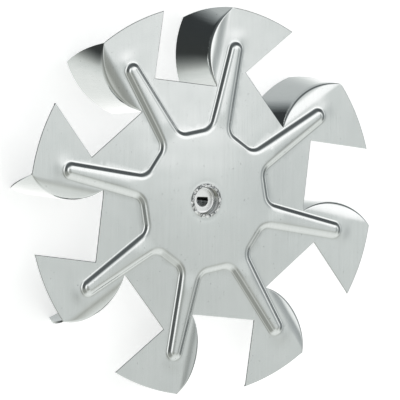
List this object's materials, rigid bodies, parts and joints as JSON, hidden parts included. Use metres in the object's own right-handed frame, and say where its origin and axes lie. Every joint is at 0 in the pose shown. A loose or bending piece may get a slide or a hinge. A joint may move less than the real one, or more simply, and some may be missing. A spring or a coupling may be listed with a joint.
{
  "type": "radial blade fan wheel",
  "caption": "Stamped sheet fan wheel with a raised star of ribs, pointed fins, blades folded back in a curve, and a staked bush with a D-shaped shaft hole.",
  "frame": {"origin": "on the wheel's axis at the floor of the bush's front recess", "axes": "+Z along the wheel's axis towards the front face with the raised star, +X towards the tip of one fin"},
  "size_m": [0.18, 0.18, 0.0344],
  "materials": {
    "sheet_metal": "satin",
    "bush_metal": "bright turned"
  },
  "bodies": {
    "root": {"wheel_sheet": "sheet_metal", "hub_bush": "bush_metal"}
  },
  "joints": []
}
